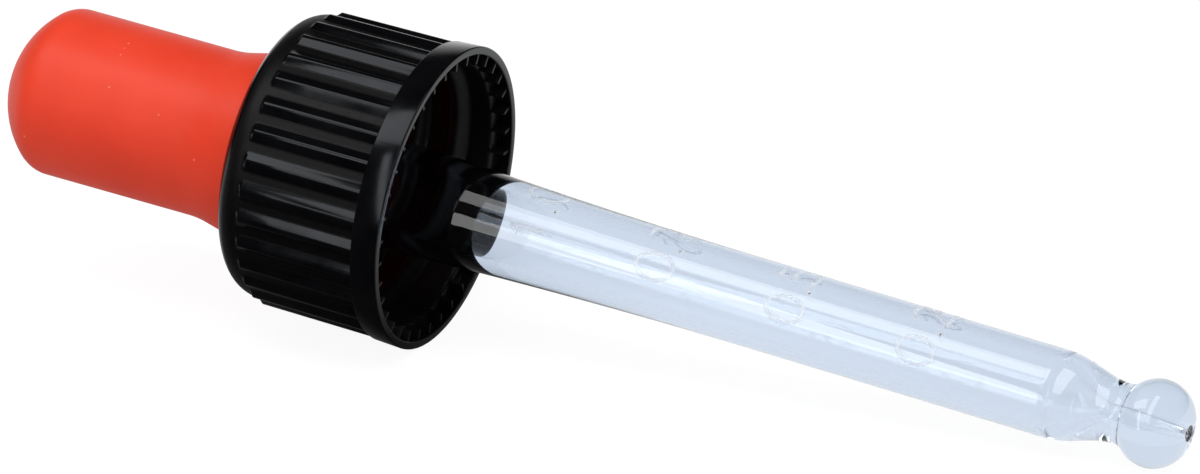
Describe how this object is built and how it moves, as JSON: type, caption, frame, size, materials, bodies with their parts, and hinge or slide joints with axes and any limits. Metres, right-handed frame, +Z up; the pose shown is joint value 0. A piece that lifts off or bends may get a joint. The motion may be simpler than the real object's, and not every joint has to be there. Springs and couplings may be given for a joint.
{
  "type": "dropper pipette",
  "caption": "Dropper with a rubber squeeze bulb in a ribbed screw cap, and a graduated clear tube that narrows to a ball tip.",
  "frame": {"origin": "on the surface it lies on, under the middle of its bounding box", "axes": "+X along the dropper from the bulb to the tip, +Z up; the cap's axis slopes down to the tip by about 6 degrees"},
  "size_m": [0.0961, 0.0232, 0.024],
  "materials": {
    "bulb_rubber": "satin moulded rubber, orange-red",
    "cap_plastic": "glossy moulded plastic, black",
    "tube_glass": "clear, faintly blue, with frosted number marks"
  },
  "bodies": {
    "root": {"rubber_bulb": "bulb_rubber", "screw_cap": "cap_plastic", "pipette_tube": "tube_glass"}
  },
  "joints": []
}
